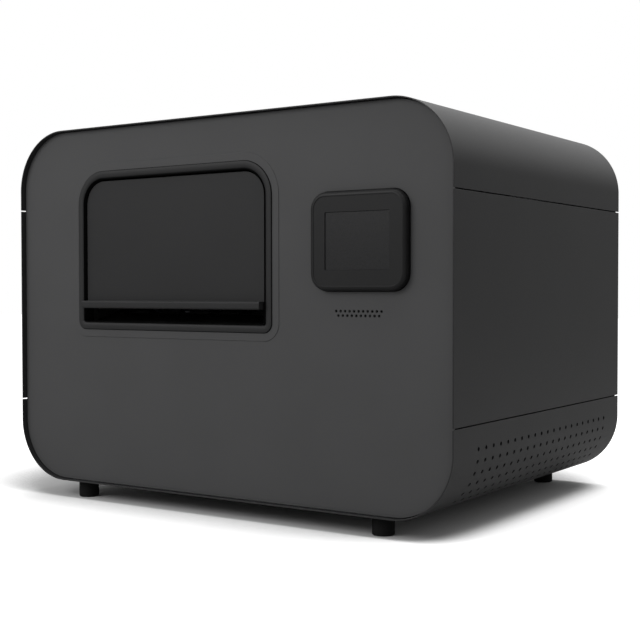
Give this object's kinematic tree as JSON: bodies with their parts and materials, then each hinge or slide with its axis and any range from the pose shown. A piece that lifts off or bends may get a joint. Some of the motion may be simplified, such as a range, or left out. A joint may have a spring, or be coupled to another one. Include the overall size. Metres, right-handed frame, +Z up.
{
  "type": "braille embosser",
  "caption": "Free-standing braille embosser with a rolled sheet case, hinged top cover, window flap over the paper slot, display block, vented lower corners and round rubber feet.",
  "frame": {"origin": "on the floor under the middle of the object's box", "axes": "+X across the front, from the window to the display, +Y from front to back, +Z up"},
  "size_m": [0.85, 0.6416, 0.6255],
  "materials": {
    "skin_paint": "fine matt dark grey powder coat",
    "panel_paint": "matt mid grey powder coat",
    "trim": "matt dark grey moulding",
    "display_case": "matt near-black moulding",
    "display_glass": "dark cover glass, switched off",
    "foot_rubber": "matt black",
    "liner": "dark damping foam",
    "zinc_sheet": "zinc plated sheet steel",
    "black_sheet": "matt black sheet",
    "frame_paint": "dark grey paint",
    "hinge_steel": "blackened steel",
    "bright_steel": "bright turned steel",
    "bronze": "sintered bronze",
    "mill_aluminium": "milled",
    "cylinder_steel": "ground steel",
    "gear_steel": "oiled steel",
    "motor_paint": "black paint",
    "belt_rubber": "black belt",
    "coil_plastic": "black coil covers",
    "black_plastic": "black moulding",
    "pin_plastic": "natural acetal",
    "gate_plastic": "dark grey moulding",
    "roller_rubber": "ground black rubber",
    "supply_sheet": "plain sheet",
    "board": "green circuit board",
    "rocker_plastic": "black rocker"
  },
  "bodies": {
    "case": {"side_panel_left": "skin_paint", "side_panel_right": "skin_paint", "vent_skirt_left": "skin_paint", "vent_skirt_right": "skin_paint", "floor_sheet": "skin_paint", "front_panel": "panel_paint", "rear_panel": "skin_paint", "rubber_feet": "foot_rubber", "foot_screws": "bright_steel", "base_tray": "zinc_sheet", "corner_posts": "frame_paint", "seam_rails": "frame_paint", "corner_gussets": "frame_paint", "hinge_leaves": "hinge_steel", "hinge_pins": "bright_steel", "window_frame": "trim", "exit_chute": "black_sheet", "display_block": "display_case", "display_glass": "display_glass", "display_module": "board", "speaker": "black_plastic", "side_frame_left": "mill_aluminium", "side_frame_right": "mill_aluminium", "frame_rods": "bright_steel", "cylinder_bearings": "bright_steel", "shaft_bushes": "bronze", "drive_motor": "motor_paint", "feed_motor": "motor_paint", "timing_belts": "belt_rubber", "solenoid_rail": "mill_aluminium", "solenoids": "coil_plastic", "paper_guides": "zinc_sheet", "power_supply": "supply_sheet", "control_board": "board", "fan_housing": "black_plastic", "rear_sockets": "black_plastic"},
    "cover": {"top_cover": "skin_paint", "cover_rails": "zinc_sheet", "cover_liner": "liner", "hinge_knuckles": "hinge_steel"},
    "flap": {"window_flap": "trim", "flap_shaft": "bright_steel"},
    "lower_drum": {"lower_cylinder": "cylinder_steel", "lower_gear": "gear_steel", "drive_pulley": "mill_aluminium"},
    "upper_drum": {"upper_cylinder": "cylinder_steel", "upper_gear": "gear_steel"},
    "drive_rotor": {"motor_pulley": "mill_aluminium"},
    "feed_axle": {"feed_shaft": "bright_steel"},
    "feed_rotor": {"feed_motor_pulley": "mill_aluminium"},
    "left_tractor": {"tractor_left": "black_plastic"},
    "right_tractor": {"tractor_right": "black_plastic"},
    "left_pin_wheel": {"pin_wheel_left": "pin_plastic"},
    "right_pin_wheel": {"pin_wheel_right": "pin_plastic"},
    "left_gate": {"gate_left": "gate_plastic"},
    "right_gate": {"gate_right": "gate_plastic"},
    "exit_axle": {"exit_roller": "roller_rubber"},
    "pinch_axle": {"pinch_rollers": "roller_rubber"},
    "fan_wheel": {"fan_rotor": "black_plastic"},
    "rocker": {"power_rocker": "rocker_plastic"}
  },
  "joints": [
    {"name": "cover_hinge", "type": "hinge", "parent": "case", "child": "cover", "pos_m": [0, 0.3163, 0.6175], "axis": [-1, 0, 0], "range_deg": [0, 65]},
    {"name": "flap_hinge", "type": "hinge", "parent": "case", "child": "flap", "pos_m": [-0.08865, -0.2982, 0.5058], "axis": [-1, 0, 0], "range_deg": [0, 75]},
    {"name": "lower_cylinder_spin", "type": "hinge", "parent": "case", "child": "lower_drum", "pos_m": [-0.08865, -0.0272, 0.2835], "axis": [1, 0, 0], "continuous": true},
    {"name": "upper_cylinder_spin", "type": "hinge", "parent": "case", "child": "upper_drum", "pos_m": [-0.08865, -0.0272, 0.3735], "axis": [1, 0, 0], "continuous": true},
    {"name": "drive_motor_spin", "type": "hinge", "parent": "case", "child": "drive_rotor", "pos_m": [0.1, -0.0672, 0.1305], "axis": [1, 0, 0], "continuous": true},
    {"name": "feed_shaft_spin", "type": "hinge", "parent": "case", "child": "feed_axle", "pos_m": [-0.08865, 0.1528, 0.29818], "axis": [1, 0, 0], "continuous": true},
    {"name": "feed_motor_spin", "type": "hinge", "parent": "case", "child": "feed_rotor", "pos_m": [0.11, 0.1628, 0.1585], "axis": [1, 0, 0], "continuous": true},
    {"name": "left_tractor_slide", "type": "slide", "parent": "case", "child": "left_tractor", "axis": [1, 0, 0], "range_m": [-0.02, 0.06]},
    {"name": "right_tractor_slide", "type": "slide", "parent": "case", "child": "right_tractor", "axis": [1, 0, 0], "range_m": [-0.06, 0.02]},
    {"name": "left_pin_wheel_spin", "type": "hinge", "parent": "left_tractor", "child": "left_pin_wheel", "pos_m": [-0.24765, 0.1528, 0.29818], "axis": [1, 0, 0], "continuous": true},
    {"name": "right_pin_wheel_spin", "type": "hinge", "parent": "right_tractor", "child": "right_pin_wheel", "pos_m": [0.07035, 0.1528, 0.29818], "axis": [1, 0, 0], "continuous": true},
    {"name": "left_gate_hinge", "type": "hinge", "parent": "left_tractor", "child": "left_gate", "pos_m": [-0.26265, 0.1628, 0.3245], "axis": [0, -1, 0], "range_deg": [0, 100]},
    {"name": "right_gate_hinge", "type": "hinge", "parent": "right_tractor", "child": "right_gate", "pos_m": [0.08535, 0.1628, 0.3245], "axis": [0, 1, 0], "range_deg": [0, 100]},
    {"name": "exit_roller_spin", "type": "hinge", "parent": "case", "child": "exit_axle", "pos_m": [-0.08865, -0.1872, 0.3045], "axis": [1, 0, 0], "continuous": true},
    {"name": "pinch_roller_spin", "type": "hinge", "parent": "case", "child": "pinch_axle", "pos_m": [-0.08865, -0.1872, 0.3289], "axis": [1, 0, 0], "continuous": true},
    {"name": "fan_spin", "type": "hinge", "parent": "case", "child": "fan_wheel", "pos_m": [0.262, 0.2978, 0.3585], "axis": [0, 1, 0], "continuous": true},
    {"name": "rocker_tilt", "type": "hinge", "parent": "case", "child": "rocker", "pos_m": [0.326, 0.3108, 0.1385], "axis": [1, 0, 0], "range_deg": [0, 16]}
  ],
  "couplings": [
    {"joint": "upper_cylinder_spin", "follows": "lower_cylinder_spin", "ratio": -1},
    {"joint": "drive_motor_spin", "follows": "lower_cylinder_spin", "ratio": 2.3333},
    {"joint": "feed_motor_spin", "follows": "feed_shaft_spin", "ratio": 1},
    {"joint": "left_pin_wheel_spin", "follows": "feed_shaft_spin", "ratio": 1},
    {"joint": "right_pin_wheel_spin", "follows": "feed_shaft_spin", "ratio": 1},
    {"joint": "exit_roller_spin", "follows": "feed_shaft_spin", "ratio": 1},
    {"joint": "pinch_roller_spin", "follows": "feed_shaft_spin", "ratio": -1.6667}
  ]
}
